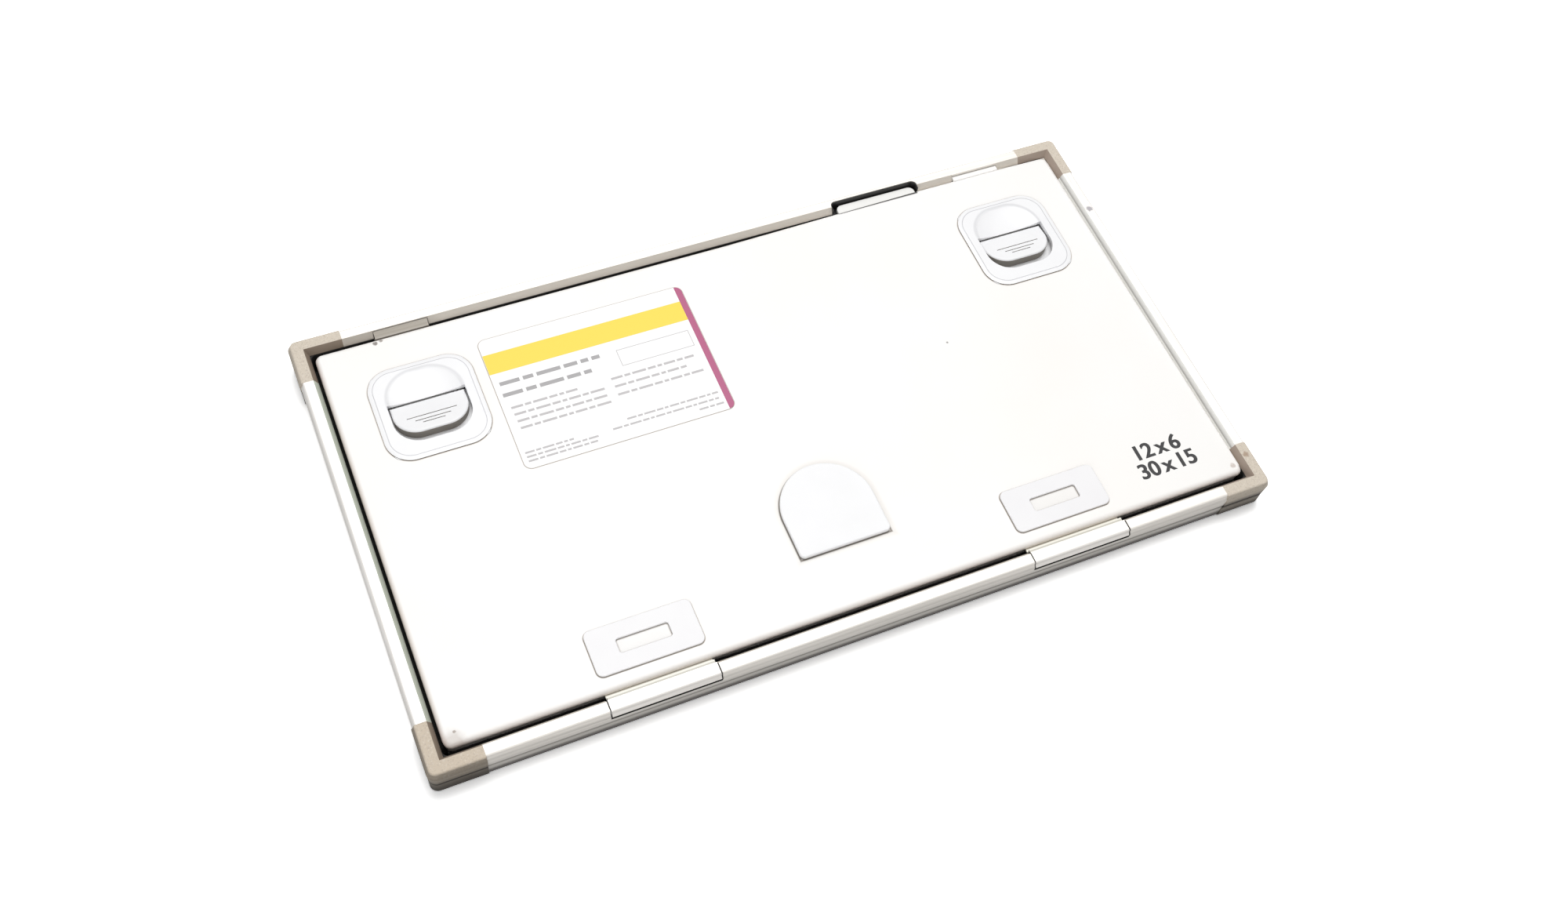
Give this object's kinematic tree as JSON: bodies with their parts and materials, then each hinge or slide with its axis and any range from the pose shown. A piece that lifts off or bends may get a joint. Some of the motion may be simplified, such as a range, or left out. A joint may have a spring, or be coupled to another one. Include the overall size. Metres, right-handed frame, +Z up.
{
  "type": "x-ray film cassette",
  "caption": "Flat x-ray film cassette: aluminium frame with moulded corners, hinged lid with two sprung slide latches, screens, foam and lead foil inside.",
  "frame": {"origin": "middle of the underside of the closed cassette", "axes": "+X along the film towards the end with the notch, +Y from the hinges to the latches, +Z up out of the lid"},
  "size_m": [0.3346, 0.185, 0.015],
  "materials": {
    "rail": "satin anodised, drawn lengthwise",
    "corner": "moulded, finely speckled taupe",
    "panel": "smooth pale grey fibre-filled sheet",
    "screen": "coated intensifying screen, white",
    "felt": "black light-seal felt",
    "steel": "plain steel",
    "liner": "black moulded liner",
    "lid": "warm white satin paint, finely textured",
    "tray": "mill-finished sheet",
    "lead": "dull grey rolled foil",
    "foam": "dark grey pressure foam",
    "leaf": "cream paint",
    "plate": "cool white moulded plastic",
    "rivet": "plain rivets",
    "latch": "cool white moulded plastic",
    "bolt": "white slippery plastic",
    "label": "coated paper, white with plain bands"
  },
  "bodies": {
    "frame": {"rail_hinge_side": "rail", "rail_latch_side": "rail", "rail_left": "rail", "rail_right": "rail", "corner_hinge_left": "corner", "corner_hinge_right": "corner", "corner_latch_left": "corner", "corner_latch_right": "corner", "front_panel": "panel", "front_screen": "screen", "seal_hinge_side": "felt", "seal_latch_side": "felt", "seal_left": "felt", "seal_right": "felt", "hinge_pin_left": "steel", "hinge_pin_right": "steel", "notch_liner": "liner"},
    "lid": {"lid_shell": "lid", "lid_tray": "tray", "lead_foil": "lead", "pressure_foam": "foam", "back_screen": "screen", "hinge_cap_left": "rail", "hinge_cap_right": "rail", "hinge_leaf_left": "leaf", "hinge_leaf_right": "leaf", "hinge_plate_left": "plate", "hinge_plate_right": "plate", "hinge_rivets_left": "rivet", "hinge_rivets_right": "rivet", "latch_bezel_left": "latch", "latch_bezel_right": "latch", "latch_springs_left": "steel", "latch_springs_right": "steel", "lift_tab": "bolt", "lid_pad": "plate", "label": "label"},
    "latch_left": {"latch_slide_left": "latch", "latch_bolt_left": "bolt"},
    "latch_right": {"latch_slide_right": "latch", "latch_bolt_right": "bolt"}
  },
  "joints": [
    {"name": "lid_hinge", "type": "hinge", "parent": "frame", "child": "lid", "pos_m": [0, -0.0902, 0.013], "axis": [1, 0, 0], "range_deg": [0, 110]},
    {"name": "latch_left_slide", "type": "slide", "parent": "lid", "child": "latch_left", "axis": [0, -1, 0], "range_m": [0, 0.0033], "stiffness_N_per_m": 300, "springref_m": -0.006, "deforming": ["latch_springs_left"]},
    {"name": "latch_right_slide", "type": "slide", "parent": "lid", "child": "latch_right", "axis": [0, -1, 0], "range_m": [0, 0.0033], "stiffness_N_per_m": 300, "springref_m": -0.006, "deforming": ["latch_springs_right"]}
  ]
}
